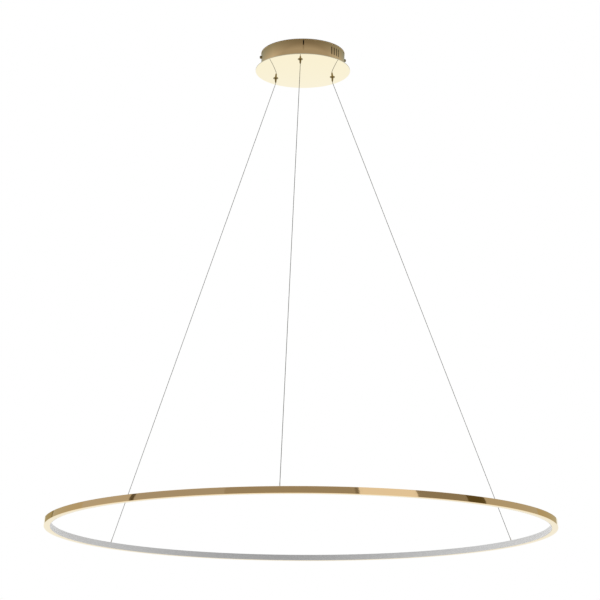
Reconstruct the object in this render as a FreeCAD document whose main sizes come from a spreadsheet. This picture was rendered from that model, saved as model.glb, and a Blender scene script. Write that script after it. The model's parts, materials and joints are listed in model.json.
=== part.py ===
import FreeCAD, Part
import math
import os
import re
import Sketcher

# Ring chandelier on three steel wires, in millimetres. +Z is up, the origin is
# the middle of the ceiling plate's top face, and its ears point along X.
# Everything hangs below z = 0.

V = FreeCAD.Vector
UP = V(0, 0, 1)
ORIGIN_POINT = (-1, 1)
X_AXIS = -1
Y_AXIS = -2
WIRE_ANGLES = ("first_wire_angle", "second_wire_angle", "third_wire_angle")

SIZES = [
    ("overall_height", 1195, "ceiling to the underside of the ring"),
    ("first_wire_angle", 260, "degrees from +X"),
    ("second_wire_angle", 22, "degrees from +X"),
    ("third_wire_angle", 138.5, "degrees from +X"),
    ("ring_radius", 600, "outer radius of the ring"),
    ("band_height", 14.6, "height of the ring's outer wall"),
    ("band_wall", 1.2, "sheet thickness of the ring channel"),
    ("flange_depth", 14.5, "outer wall to the inner lips"),
    ("edge_break", 0.4, "chamfer on the channel's outer corners"),
    ("diffuser_face", 1.5, "thickness of the diffuser's inner face"),
    ("diffuser_gap", 0.1, "face to each end of the band"),
    ("diffuser_crown", 0.6, "bevel of the diffuser's face"),
    ("leg_depth", 2.4, "snap leg, behind the face"),
    ("leg_thickness", 1.0, "snap leg"),
    ("strip_height", 10.0, "light strip"),
    ("strip_thickness", 0.4, "light strip's circuit band"),
    ("chip_count", 96, "light chips round the ring"),
    ("chip_side", 5.0, "light chip"),
    ("chip_height", 1.2, "light chip, above the band"),
    ("canopy_height", 46, "ceiling to the underside of the mirror plate"),
    ("drum_radius", 103.8, "outside of the canopy's wall"),
    ("drum_wall", 1.0, "sheet thickness of the drum"),
    ("drum_bend", 1.5, "bevel of the bend between wall and floor"),
    ("hem_height", 2.4, "rolled hem round the drum's mouth"),
    ("hem_step", 0.5, "hem beyond the wall"),
    ("plate_radius", 117.7, "mirror plate"),
    ("plate_thickness", 2.0, "mirror plate"),
    ("vent_angle", -52.5, "degrees from +X, first vent slot"),
    ("vent_pitch", 4.7, "degrees between vent slots"),
    ("vent_count", 4, "slots in each of the two groups"),
    ("vent_top", 9.5, "below the ceiling"),
    ("vent_length", 20.0, "vent slot"),
    ("vent_width", 3.0, "vent slot"),
    ("window_angle", -95, "degrees from +X"),
    ("window_foot", 16, "below the ceiling, upright window under the drum's hem"),
    ("window_width", 3, "upright window under the drum's hem"),
    ("ear_reach", 101.7, "middle of the ceiling plate to its ears' outer faces"),
    ("ear_width", 24, "ears of the ceiling plate"),
    ("bracket_thickness", 2.0, "ceiling plate"),
    ("bracket_bend", 1.0, "inside of the bend between ceiling plate and ear"),
    ("bracket_radius", 99, "round of the ceiling plate between its ears"),
    ("ear_drop", 20, "ceiling to the end of an ear"),
    ("slot_offset", 45, "middle of the ceiling plate to the middle of a slot"),
    ("slot_length", 30, "end to end, for ceiling screws"),
    ("slot_width", 5.5, "for ceiling screws"),
    ("cable_hole_radius", 6, "supply cable hole in the ceiling plate"),
    ("side_screw_drop", 13, "ceiling to the side screws"),
    ("side_screw_radius", 2.0, "M4 thread"),
    ("side_hole_radius", 2.3, "hole in the drum's wall"),
    ("knob_radius", 3.8, "side screw's head"),
    ("knob_length", 4.5, "side screw's head"),
    ("knob_crown", 2.0, "round of a side screw's head"),
    ("side_screw_length", 8, "side screw's shank"),
    ("gripper_radius", 84, "canopy's axis to a wire gripper"),
    ("barrel_radius", 5.0, "gripper's threaded barrel"),
    ("barrel_length", 24, "plate's underside to the barrel's top"),
    ("flange_radius", 6.3, "gripper's flange under the plate"),
    ("flange_thickness", 1.0, "gripper's flange"),
    ("guide_radius", 2.55, "bore that guides the release nipple"),
    ("shank_radius", 2.5, "release nipple"),
    ("nipple_drop", 11.5, "plate's underside to the nipple's tip"),
    ("tip_radius", 1.7, "nipple's tip"),
    ("waist_drop", 7, "plate's underside to the nipple's waist"),
    ("waist_radius", 2.25, "nipple's waist, where its taper steepens"),
    ("shank_drop", 3.5, "plate's underside to the end of the nipple's straight shank"),
    ("seat_floor", 7.5, "plate's underside to the foot of the ball seat"),
    ("ball_level", 11, "plate's underside to the gripping balls"),
    ("ball_radius", 1.4, "gripping ball"),
    ("ball_gap", 0.03, "ball to its seat, and ball to wire"),
    ("seat_angle", 8, "degrees, half-angle of the ball seat's cone"),
    ("cage_radius", 3.05, "ball cage on top of the nipple"),
    ("cage_top", 14, "plate's underside to the top of the cage"),
    ("chamber_radius", 4.25, "spring chamber above the seat"),
    ("plug_depth", 2.5, "screwed plug that closes the chamber"),
    ("plug_slot", 1.0, "slot for turning the plug"),
    ("spring_radius", 2.4, "middle of the spring's wire"),
    ("spring_wire", 0.6, "side of the spring's square wire"),
    ("spring_turns", 4, "gripper spring"),
    ("nut_flats", 14, "across the flats of a gripper's nut"),
    ("nut_height", 4, "gripper's nut"),
    ("wire_radius", 0.75, "suspension wire"),
    ("wire_bore", 0.95, "bore that a wire passes through"),
    ("wire_lead", 1.0, "straight wire under a nipple"),
    ("wire_bend", 6.0, "radius where a wire turns towards the ring"),
    ("tail_length", 46, "wire above a nipple's tip"),
    ("anchor_radius", 592.5, "ring's axis to an anchor's pin"),
    ("anchor_drop", 6.4, "ring's top to the foot of an anchor"),
    ("post_radius", 2.75, "anchor's forked post"),
    ("cheek_reach", 2.3, "anchor's axis to the flat outside of a cheek"),
    ("fork_floor", 5.2, "ring's top to the foot of the fork"),
    ("fork_gap", 2.7, "between the fork's cheeks"),
    ("pin_drop", 3.2, "ring's top to the fork's pin"),
    ("pin_radius", 0.6, "fork's pin"),
    ("pin_head_radius", 1.1, "fork's pin"),
    ("pin_head_height", 0.8, "fork's pin"),
    ("pin_nut_flats", 2.4, "across the flats of a pin's nut"),
    ("pin_nut_height", 1.0, "pin's nut"),
    ("wire_slot_near", 4.6, "anchor's pin to the inner round of the ring's slot"),
    ("wire_slot_far", 0.8, "anchor's pin to the outer round of the ring's slot"),
    ("wire_slot_width", 3.0, "slot for a wire end in the ring's top"),
    ("eye_clearance", 0.05, "wire end's eye round the pin"),
    ("eye_radius", 1.5, "wire end's eye"),
    ("eye_width", 2.2, "wire end's eye"),
    ("sleeve_radius", 1.25, "wire end's crimped sleeve"),
    ("sleeve_start", 1.0, "pin to the sleeve's foot, inside the eye"),
    ("sleeve_end", 13, "pin to the sleeve's open end"),
    ("driver_length", 108, "driver's case"),
    ("driver_width", 42, "driver's case"),
    ("driver_height", 20, "driver's case"),
    ("driver_corner", 4, "driver's case"),
    ("tray_height", 14, "driver's case up to its lid groove"),
    ("lid_recess", 0.8, "groove under the driver's lid"),
    ("pad_thickness", 1.0, "adhesive foam under the driver"),
    ("pad_margin", 6, "foam inside the driver's edges"),
    ("terminal_length", 20, "terminal block, along X"),
    ("terminal_width", 22, "terminal block, along Y"),
    ("terminal_height", 12, "terminal block"),
    ("terminal_corner", 0.8, "terminal block"),
    ("terminal_place", 78, "middle of the ceiling plate to the terminal block"),
    ("well_offset", 4.5, "terminal block's middle to a row of screw wells"),
    ("well_pitch", 6.9, "between screw wells"),
    ("well_radius", 1.9, "screw well"),
    ("well_depth", 5, "screw well"),
    ("earth_place", -82, "middle of the ceiling plate to the earth screw"),
    ("washer_radius", 4.5, "earth screw's washer"),
    ("washer_thickness", 0.8, "earth screw's washer"),
    ("pan_radius", 3.6, "earth screw's head"),
    ("pan_height", 2.6, "earth screw's head"),
    ("pan_crown", 1.2, "round of the earth screw's head"),
]

doc = FreeCAD.newDocument("ring_chandelier")
sheet = doc.addObject("Spreadsheet::Sheet", "Sizes")
for row, (alias, value, meaning) in enumerate(SIZES, start=1):
    sheet.set(f"A{row}", alias)
    sheet.set(f"B{row}", str(value))
    sheet.set(f"C{row}", meaning)
    sheet.setAlias(f"B{row}", alias)
doc.recompute()
ALIASES = {alias for alias, value, meaning in SIZES}
nodes = []


# ---- sizes and sketches ---------------------------------------------------


def size(alias):
    """One driving dimension, read from the sheet."""
    return float(sheet.get(alias))


def formula(text):
    """A formula in the sheet's aliases, as an expression of the document."""

    def cell(word):
        return "Sizes." + word[0] if word[0] in ALIASES else word[0]

    return re.sub(r"[a-z_]+", cell, text)


def value_of(owner, text):
    """What a formula comes to."""
    return float(owner.evalExpression(formula(text)))


def bind(owner, name, text):
    owner.setExpression(name, formula(text))


def new_body(label):
    body = doc.addObject("PartDesign::Body", label)
    body.Label = label
    return body


def origin_feature(body, role):
    return next(f for f in body.Origin.OriginFeatures if f.Role == role)


def sketch_on(body, role, name, level=None, turn=None):
    """A sketch on an origin plane, moved along its normal to level. With turn,
    the XZ plane is turned about Z until it faces turn degrees from +X."""
    sketch = body.newObject("Sketcher::SketchObject", f"{body.Label}_{name}")
    sketch.AttachmentSupport = [(origin_feature(body, role), "")]
    sketch.MapMode = "FlatFace"
    if level is not None:
        bind(sketch, "AttachmentOffset.Base.z", level)
    if turn is not None:
        spin = FreeCAD.Rotation(V(0, 1, 0), size(turn) + 90)
        sketch.AttachmentOffset = FreeCAD.Placement(V(), spin)
    return sketch


def fix(sketch, geometry, vertex, across, along):
    """Ties one vertex to its two formulas, or to an axis where one is 0."""
    for text, kind, axis in ((across, "DistanceX", Y_AXIS), (along, "DistanceY", X_AXIS)):
        distance = value_of(sketch, text)
        if abs(distance) < 1e-9:
            sketch.addConstraint(Sketcher.Constraint("PointOnObject", geometry, vertex, axis))
            continue
        tie = Sketcher.Constraint(kind, *ORIGIN_POINT, geometry, vertex, distance)
        index = sketch.addConstraint(tie)
        bind(sketch, f"Constraints[{index}]", text)


def polygon(sketch, corners):
    """A closed outline of straight lines through corners given as formulas."""
    spots = [V(value_of(sketch, x), value_of(sketch, y), 0) for x, y in corners]
    first = sketch.GeometryCount
    count = len(spots)
    for i in range(count):
        sketch.addGeometry(Part.LineSegment(spots[i], spots[(i + 1) % count]))
    for i in range(count):
        joint = ("Coincident", first + i, 2, first + (i + 1) % count, 1)
        sketch.addConstraint(Sketcher.Constraint(*joint))
    for i, (x, y) in enumerate(corners):
        fix(sketch, first + i, 1, x, y)


def circle(sketch, x, y, radius):
    middle = V(value_of(sketch, x), value_of(sketch, y), 0)
    index = sketch.addGeometry(Part.Circle(middle, UP, value_of(sketch, radius)))
    if middle.Length < 1e-9:
        sketch.addConstraint(Sketcher.Constraint("Coincident", index, 3, *ORIGIN_POINT))
    else:
        fix(sketch, index, 3, x, y)
    rim = sketch.addConstraint(Sketcher.Constraint("Radius", index, value_of(sketch, radius)))
    bind(sketch, f"Constraints[{rim}]", radius)


def rounded_slot(sketch, start, end, radius):
    """Two half circles about start and end, each a pair of formulas, and the
    two lines that join them."""
    a = V(value_of(sketch, start[0]), value_of(sketch, start[1]), 0)
    b = V(value_of(sketch, end[0]), value_of(sketch, end[1]), 0)
    reach = value_of(sketch, radius)
    heading = math.atan2(b.y - a.y, b.x - a.x)
    side = V(-math.sin(heading), math.cos(heading), 0) * reach
    quarter = math.pi / 2
    far = Part.ArcOfCircle(Part.Circle(b, UP, reach), heading - quarter, heading + quarter)
    near = Part.ArcOfCircle(Part.Circle(a, UP, reach), heading + quarter, heading + 3 * quarter)
    arc_b = sketch.addGeometry(far)
    arc_a = sketch.addGeometry(near)
    left = sketch.addGeometry(Part.LineSegment(b + side, a + side))
    right = sketch.addGeometry(Part.LineSegment(a - side, b - side))
    for joint in ((arc_b, 2, left, 1), (left, 2, arc_a, 1), (arc_a, 2, right, 1), (right, 2, arc_b, 1)):
        sketch.addConstraint(Sketcher.Constraint("Tangent", *joint))
    fix(sketch, arc_b, 3, *end)
    fix(sketch, arc_a, 3, *start)
    rim = sketch.addConstraint(Sketcher.Constraint("Radius", arc_b, reach))
    bind(sketch, f"Constraints[{rim}]", radius)


# ---- features -------------------------------------------------------------


def pad(body, sketch, length, symmetric=False, downwards=False):
    feature = body.newObject("PartDesign::Pad", sketch.Name + "_pad")
    feature.Profile = sketch
    bind(feature, "Length", length)
    feature.SideType = "Symmetric" if symmetric else "One side"
    feature.Reversed = downwards
    doc.recompute()
    return feature


def revolve(body, sketch):
    """Turns a half-section about the sketch's upright axis."""
    feature = body.newObject("PartDesign::Revolution", sketch.Name + "_turn")
    feature.Profile = sketch
    feature.ReferenceAxis = (sketch, ["V_Axis"])
    feature.Angle = 360
    doc.recompute()
    return feature


def cut_through(body, sketch, both_ways=False, reverse=False):
    """A pocket through everything, which must take some material away."""
    before = body.Shape.Volume
    feature = body.newObject("PartDesign::Pocket", sketch.Name + "_cut")
    feature.Profile = sketch
    feature.Type = "ThroughAll"
    feature.SideType = "Symmetric" if both_ways else "One side"
    feature.Reversed = reverse
    doc.recompute()
    if body.Shape.Volume > before - 0.1:
        raise RuntimeError(f"{sketch.Name} cuts nothing")
    return feature


def cut_to(body, sketch, depth, reverse=False):
    """A pocket of a depth, which must take some material away."""
    before = body.Shape.Volume
    feature = body.newObject("PartDesign::Pocket", sketch.Name + "_cut")
    feature.Profile = sketch
    bind(feature, "Length", depth)
    feature.Reversed = reverse
    doc.recompute()
    if body.Shape.Volume > before - 1:
        raise RuntimeError(f"{sketch.Name} cuts nothing")
    return feature


def repeat_round(body, feature, count, angle=None):
    """Repeats a feature about the body's Z axis, all round or over an angle."""
    pattern = body.newObject("PartDesign::PolarPattern", feature.Name + "_round")
    pattern.Originals = [feature]
    pattern.Axis = (origin_feature(body, "Z_Axis"), [""])
    bind(pattern, "Occurrences", count)
    pattern.Angle = 360
    if angle is not None:
        bind(pattern, "Angle", angle)
    body.Tip = pattern
    doc.recompute()
    return pattern


def dress(body, kind, amount, wanted):
    """Fillet or Chamfer on the edges for which wanted(edge) is true."""
    base = body.Tip
    names = [f"Edge{i}" for i, edge in enumerate(base.Shape.Edges, 1) if wanted(edge)]
    if not names:
        raise RuntimeError(f"{body.Label} has no edge to dress")
    feature = body.newObject("PartDesign::" + kind, f"{base.Name}_{kind.lower()}")
    feature.Base = (base, names)
    bind(feature, "Radius" if kind == "Fillet" else "Size", amount)
    doc.recompute()
    return feature


def round_edge(radius, level):
    """Picks the full circles of a radius at a level."""

    def wanted(edge):
        ring = edge.Curve
        if not isinstance(ring, Part.Circle):
            return False
        return abs(ring.Radius - radius) < 0.01 and abs(ring.Center.z - level) < 0.01

    return wanted


def turned(label, corners):
    """A body turned from one half-section, its corners (radius, height)."""
    body = new_body(label)
    section = sketch_on(body, "XZ_Plane", "section")
    polygon(section, corners)
    revolve(body, section)
    return body


def keep(piece, label=None):
    """Lists a finished piece for export."""
    if label is not None:
        piece.Label = label
    nodes.append(piece)
    return piece


def compound(label, pieces):
    """Identical fasteners, kept as one piece of several solids."""
    group = doc.addObject("Part::Compound", label)
    group.Links = pieces
    return keep(group, label)


def wire_angle(index):
    return size(WIRE_ANGLES[index - 1])


def at_wire(index, radius, level):
    """The place on wire index's radius, with local X pointing outwards."""
    turn = FreeCAD.Rotation(UP, wire_angle(index))
    return FreeCAD.Placement(turn.multVec(V(radius, 0, level)), turn)


def wire_numbers():
    return range(1, len(WIRE_ANGLES) + 1)


def spot_at(radius, angle):
    """Formulas for the place at a radius and at an angle's alias."""
    return [f"{radius} * {wave}({angle} * 1 deg)" for wave in ("cos", "sin")]


# ---- ceiling plate and canopy -----------------------------------------------


def mounting_bracket():
    """Round steel plate against the ceiling, with two ears bent down and tapped."""
    body = new_body("mounting_bracket")
    side = sketch_on(body, "XZ_Plane", "side")
    inside = "ear_reach - bracket_thickness"
    polygon(
        side,
        [
            ("-ear_reach", "0"),
            ("ear_reach", "0"),
            ("ear_reach", "-ear_drop"),
            (inside, "-ear_drop"),
            (inside, "-bracket_thickness"),
            (f"-({inside})", "-bracket_thickness"),
            (f"-({inside})", "-ear_drop"),
            ("-ear_reach", "-ear_drop"),
        ],
    )
    pad(body, side, "ear_width", symmetric=True)

    def bend(reach, level):
        def wanted(edge):
            middle = edge.CenterOfMass
            upright = abs(edge.BoundBox.YLength - size("ear_width")) < 0.01
            return upright and abs(abs(middle.x) - reach) < 0.01 and abs(middle.z - level) < 0.01

        return wanted

    thick = size("bracket_thickness")
    dress(body, "Fillet", "bracket_thickness + bracket_bend", bend(size("ear_reach"), 0))
    dress(body, "Fillet", "bracket_bend", bend(size("ear_reach") - thick, -thick))

    disc = sketch_on(body, "XY_Plane", "disc")
    circle(disc, "0", "0", "bracket_radius")
    pad(body, disc, "bracket_thickness", downwards=True)

    holes = sketch_on(body, "XY_Plane", "holes")
    half_run = "(slot_length - slot_width) / 2"
    for sign in ("", "-"):
        start = (f"{sign}(slot_offset - {half_run})", "0")
        end = (f"{sign}(slot_offset + {half_run})", "0")
        rounded_slot(holes, start, end, "slot_width / 2")
    circle(holes, "0", "0", "cable_hole_radius")
    circle(holes, "earth_place", "0", "side_screw_radius")
    cut_through(body, holes, both_ways=True)

    taps = sketch_on(body, "YZ_Plane", "taps")
    circle(taps, "0", "-side_screw_drop", "side_screw_radius")
    cut_through(body, taps, both_ways=True)
    return keep(body)


def gripper_holes(body, level):
    """Three holes for the grippers' barrels."""
    holes = sketch_on(body, "XY_Plane", "barrel_holes", level=level)
    for angle in WIRE_ANGLES:
        circle(holes, *spot_at("gripper_radius", angle), "barrel_radius + 0.1")
    cut_through(body, holes, both_ways=True)


def canopy_drum():
    """Drawn sheet cup, mouth up, with a hem, vents, screw holes and a window."""
    floor = "canopy_height - plate_thickness"
    lip = "drum_radius + hem_step"
    body = turned(
        "canopy_drum",
        [
            ("0", f"-({floor})"),
            ("drum_radius - drum_bend", f"-({floor})"),
            ("drum_radius", f"drum_bend - ({floor})"),
            ("drum_radius", "-hem_height"),
            (lip, "-hem_height + hem_step"),
            (lip, "-hem_step"),
            ("drum_radius", "0"),
            ("drum_radius - drum_wall", "0"),
            ("drum_radius - drum_wall", f"drum_wall + drum_bend / 2 - ({floor})"),
            ("drum_radius - drum_wall - drum_bend / 2", f"drum_wall - ({floor})"),
            ("0", f"drum_wall - ({floor})"),
        ],
    )
    gripper_holes(body, f"-({floor})")

    screws = sketch_on(body, "YZ_Plane", "screw_holes")
    circle(screws, "0", "-side_screw_drop", "side_hole_radius")
    cut_through(body, screws, both_ways=True)

    vent = sketch_on(body, "XZ_Plane", "vent", turn="vent_angle")
    high = ("0", "-(vent_top + vent_width / 2)")
    low = ("0", "-(vent_top + vent_length - vent_width / 2)")
    rounded_slot(vent, low, high, "vent_width / 2")
    slot = cut_through(body, vent, both_ways=True)
    repeat_round(body, slot, "vent_count", "vent_pitch * (vent_count - 1)")

    window = sketch_on(body, "XZ_Plane", "window", turn="window_angle")
    half = "window_width / 2"
    foot = "-window_foot"
    roof = "-(hem_height + hem_step)"
    polygon(window, [(f"-{half}", foot), (half, foot), (half, roof), (f"-{half}", roof)])
    cut_through(body, window, reverse=True)
    return keep(body)


def canopy_plate():
    """Mirror-polished disc under the drum, wider than it."""
    body = new_body("canopy_plate")
    disc = sketch_on(body, "XY_Plane", "disc", level="-canopy_height")
    circle(disc, "0", "0", "plate_radius")
    pad(body, disc, "plate_thickness")
    rim = round_edge(size("plate_radius"), -size("canopy_height"))
    dress(body, "Chamfer", "edge_break", rim)
    gripper_holes(body, "-canopy_height")
    return keep(body)


def side_screws():
    """Two domed thumb screws through the drum's wall into the ceiling plate's ears."""
    pieces = []
    for name, turn, reach in (("left", -90, "-drum_radius"), ("right", 90, "drum_radius")):
        screw = turned(
            f"side_screw_{name}",
            [
                ("0", "-side_screw_length"),
                ("side_screw_radius", "-side_screw_length"),
                ("side_screw_radius", "0"),
                ("knob_radius", "0"),
                ("knob_radius", "knob_length"),
                ("0", "knob_length"),
            ],
        )
        dress(screw, "Fillet", "knob_crown", round_edge(size("knob_radius"), size("knob_length")))
        spot = V(value_of(screw, reach), 0, -size("side_screw_drop"))
        screw.Placement = FreeCAD.Placement(spot, FreeCAD.Rotation(V(0, 1, 0), turn))
        pieces.append(screw)
    return compound("side_screws", pieces)


def earth_screw():
    """Pan-head screw and washer for the earth lead, under the ceiling plate."""
    under = "(bracket_thickness + washer_thickness)"
    screw = turned(
        "earth_screw",
        [
            ("0", "0"),
            ("side_screw_radius", "0"),
            ("side_screw_radius", "-bracket_thickness"),
            ("washer_radius", "-bracket_thickness"),
            ("washer_radius", f"-{under}"),
            ("pan_radius", f"-{under}"),
            ("pan_radius", f"-{under} - pan_height"),
            ("0", f"-{under} - pan_height"),
        ],
    )
    crown = round_edge(size("pan_radius"), value_of(screw, f"-{under} - pan_height"))
    dress(screw, "Fillet", "pan_crown", crown)
    screw.Placement = FreeCAD.Placement(V(size("earth_place"), 0, 0), FreeCAD.Rotation())
    return keep(screw)


def rectangle(sketch, length, width):
    """A rectangle about the sketch's origin."""
    x = f"({length}) / 2"
    y = f"({width}) / 2"
    polygon(sketch, [(f"-{x}", f"-{y}"), (x, f"-{y}"), (x, y), (f"-{x}", y)])


def upright_edge(edge):
    return edge.BoundBox.XLength < 1e-6 and edge.BoundBox.YLength < 1e-6


def terminal_block():
    """Three-pole terminal block under the ceiling plate, its screws facing down."""
    body = new_body("terminal_block")
    base = sketch_on(body, "XY_Plane", "base", level="-bracket_thickness")
    rectangle(base, "terminal_length", "terminal_width")
    pad(body, base, "terminal_height", downwards=True)
    dress(body, "Fillet", "terminal_corner", upright_edge)
    wells = sketch_on(body, "XY_Plane", "wells", level="-bracket_thickness - terminal_height")
    for place in ("-well_pitch", "0", "well_pitch"):
        circle(wells, "well_offset", place, "well_radius")
        circle(wells, "-well_offset", place, "well_radius")
    cut_to(body, wells, "well_depth", reverse=True)
    body.Placement = FreeCAD.Placement(V(size("terminal_place"), 0, 0), FreeCAD.Rotation())
    return keep(body)


def led_driver():
    """Sealed driver case that lies on the canopy's floor, lid joint up."""
    body = new_body("led_driver")
    floor = "plate_thickness + drum_wall + pad_thickness - canopy_height"
    base = sketch_on(body, "XY_Plane", "base", level=floor)
    rectangle(base, "driver_length", "driver_width")
    pad(body, base, "tray_height")
    neck = sketch_on(body, "XY_Plane", "neck", level=f"{floor} + tray_height")
    rectangle(neck, "driver_length - 2 * lid_recess", "driver_width - 2 * lid_recess")
    pad(body, neck, "lid_recess")
    lid = sketch_on(body, "XY_Plane", "lid", level=f"{floor} + tray_height + lid_recess")
    rectangle(lid, "driver_length", "driver_width")
    pad(body, lid, "driver_height - tray_height - lid_recess")

    for inset in ("lid_recess", "0"):
        reach = value_of(body, f"driver_length / 2 - {inset}")

        def corner(edge, reach=reach):
            return upright_edge(edge) and abs(abs(edge.CenterOfMass.x) - reach) < 0.01

        dress(body, "Fillet", f"driver_corner - {inset}", corner)
    return keep(body)


def driver_pad():
    """Foam pad that holds the driver to the canopy's floor."""
    pad_piece = doc.addObject("Part::Box", "driver_pad")
    bind(pad_piece, "Length", "driver_length - 2 * pad_margin")
    bind(pad_piece, "Width", "driver_width - 2 * pad_margin")
    bind(pad_piece, "Height", "pad_thickness")
    level = size("plate_thickness") + size("drum_wall") - size("canopy_height")
    margin = size("pad_margin")
    corner = V(margin - size("driver_length") / 2, margin - size("driver_width") / 2, level)
    pad_piece.Placement = FreeCAD.Placement(corner, FreeCAD.Rotation())
    return keep(pad_piece, "driver_pad")


# ---- wire grippers ----------------------------------------------------------

# A wire hangs from three balls in a cone that narrows downwards. Its pull draws
# the balls tighter. Pushing the nipple up lifts them, and the wire runs free.
# Each gripper's own frame has z = 0 at the plate's underside.

BALL_ORBIT = "(wire_radius + ball_radius + ball_gap)"
SEAT_SLOPE = "tan(seat_angle * 1 deg)"
SEAT_AT_BALLS = f"({BALL_ORBIT} + ball_radius / cos(seat_angle * 1 deg) + ball_gap)"
SEAT_FOOT = f"{SEAT_AT_BALLS} - (ball_level - seat_floor) * {SEAT_SLOPE}"


def gripper_body(index):
    """Flanged, threaded barrel with the guide bore, ball seat and chamber."""
    body = turned(
        f"gripper_body_{index}",
        [
            ("guide_radius", "-flange_thickness"),
            ("flange_radius - edge_break", "-flange_thickness"),
            ("flange_radius", "-flange_thickness + edge_break"),
            ("flange_radius", "0"),
            ("barrel_radius", "0"),
            ("barrel_radius", "barrel_length"),
            ("chamber_radius", "barrel_length"),
            ("chamber_radius", "cage_top"),
            (f"{SEAT_AT_BALLS} + (cage_top - ball_level) * {SEAT_SLOPE}", "cage_top"),
            (SEAT_FOOT, "seat_floor"),
            ("guide_radius", "seat_floor"),
        ],
    )
    body.Placement = at_wire(index, size("gripper_radius"), -size("canopy_height"))
    return keep(body)


def gripper_plug(index):
    """Screwed plug that closes the chamber and carries the spring."""
    body = turned(
        f"gripper_plug_{index}",
        [
            ("wire_bore", "barrel_length - plug_depth"),
            ("chamber_radius", "barrel_length - plug_depth"),
            ("chamber_radius", "barrel_length"),
            ("wire_bore * 2", "barrel_length"),
            ("wire_bore", "barrel_length - wire_bore"),
        ],
    )
    driver_slot = sketch_on(body, "XY_Plane", "driver_slot", level="barrel_length")
    rectangle(driver_slot, "chamber_radius * 3", "plug_slot")
    cut_to(body, driver_slot, "plug_slot")
    body.Placement = at_wire(index, size("gripper_radius"), -size("canopy_height"))
    return keep(body)


def gripper_plunger(index):
    """Release nipple with the ball cage on its top and the balls in it."""
    body = turned(
        f"gripper_plunger_{index}",
        [
            ("wire_bore", "-nipple_drop"),
            ("tip_radius", "-nipple_drop"),
            ("waist_radius", "-waist_drop"),
            ("shank_radius", "-shank_drop"),
            ("shank_radius", "seat_floor"),
            ("cage_radius", "seat_floor"),
            ("cage_radius", "cage_top"),
            ("wire_bore", "cage_top"),
        ],
    )
    ball = body.newObject("PartDesign::AdditiveSphere", f"ball_{index}")
    bind(ball, "Radius", "ball_radius")
    ball.AttachmentSupport = [(origin_feature(body, "XY_Plane"), "")]
    ball.MapMode = "FlatFace"
    bind(ball, "AttachmentOffset.Base.x", BALL_ORBIT)
    bind(ball, "AttachmentOffset.Base.z", "ball_level")
    doc.recompute()
    repeat_round(body, ball, "3")
    body.Placement = at_wire(index, size("gripper_radius"), -size("canopy_height"))
    return keep(body)


def biarc(start, start_way, end, end_way):
    """Two arcs from start to end that meet smoothly and leave along the two
    unit directions, as edges."""
    gap = end - start
    ways = start_way + end_way
    a = ways.dot(ways) - 4
    b = -2 * gap.dot(ways)
    c = gap.dot(gap)
    reach = (-b - math.sqrt(b * b - 4 * a * c)) / (2 * a)
    knees = (start + start_way * reach, end - end_way * reach)
    joint = (knees[0] + knees[1]) * 0.5
    edges = []
    for first, knee, last in ((start, knees[0], joint), (joint, knees[1], end)):
        middle = (first + last) * 0.5
        half = (last - first).Length / 2
        height = (middle - knee).Length
        radius = half * reach / height
        sag = math.sqrt(radius * radius + reach * reach) - radius
        crown = knee + (middle - knee) * (sag / height)
        edges.append(Part.Arc(first, crown, last).toShape())
    return edges


def gripper_spring(index):
    """Square-wire spring between the ball cage and the plug, a pipe along
    biarcs of half a turn."""
    radius = size("spring_radius")
    half = size("spring_wire") / 2
    low = size("cage_top") + half
    high = size("barrel_length") - size("plug_depth") - half
    turns = size("spring_turns")
    rise = (high - low) / turns / (2 * math.pi)

    def on_helix(angle):
        spot = V(radius * math.cos(angle), radius * math.sin(angle), low + rise * angle)
        way = V(-radius * math.sin(angle), radius * math.cos(angle), rise).normalize()
        return spot, way

    edges = []
    for step in range(int(turns * 2)):
        edges += biarc(*on_helix(math.pi * step), *on_helix(math.pi * (step + 1)))
    start, way = on_helix(0)
    outwards = V(1, 0, 0)
    across = way.cross(outwards)
    corners = []
    for x, y in ((-half, -half), (half, -half), (half, half), (-half, half)):
        corners.append(start + outwards * x + across * y)
    square = Part.makePolygon(corners + corners[:1])
    name = f"gripper_spring_{index}"
    spring = doc.addObject("Part::Feature", name)
    spring.Shape = Part.Wire(edges).makePipeShell([square], True, False)
    spring.Placement = at_wire(index, size("gripper_radius"), -size("canopy_height"))
    if index == 1:
        gap = rise * 2 * math.pi - 2 * half
        print(f"spring's gap between turns {gap:.2f}")
    return keep(spring, name)


def hexagon_nut(name, flats, height, bore):
    """A plain hexagon nut, standing on z = 0."""
    block = doc.addObject("Part::Prism", name + "_block")
    block.Polygon = 6
    bind(block, "Circumradius", f"{flats} / 2 / cos(30 deg)")
    bind(block, "Height", height)
    hole = doc.addObject("Part::Cylinder", name + "_hole")
    bind(hole, "Radius", bore)
    bind(hole, "Height", height)
    nut = doc.addObject("Part::Cut", name)
    nut.Base = block
    nut.Tool = hole
    return nut


def gripper_nuts():
    """Nuts on the barrels, clamping plate and drum together."""
    level = size("plate_thickness") + size("drum_wall") - size("canopy_height")
    pieces = []
    for index in wire_numbers():
        nut = hexagon_nut(f"gripper_nut_{index}", "nut_flats", "nut_height", "barrel_radius")
        nut.Placement = at_wire(index, size("gripper_radius"), level)
        pieces.append(nut)
    return compound("gripper_nuts", pieces)


# ---- wires ------------------------------------------------------------------


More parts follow.
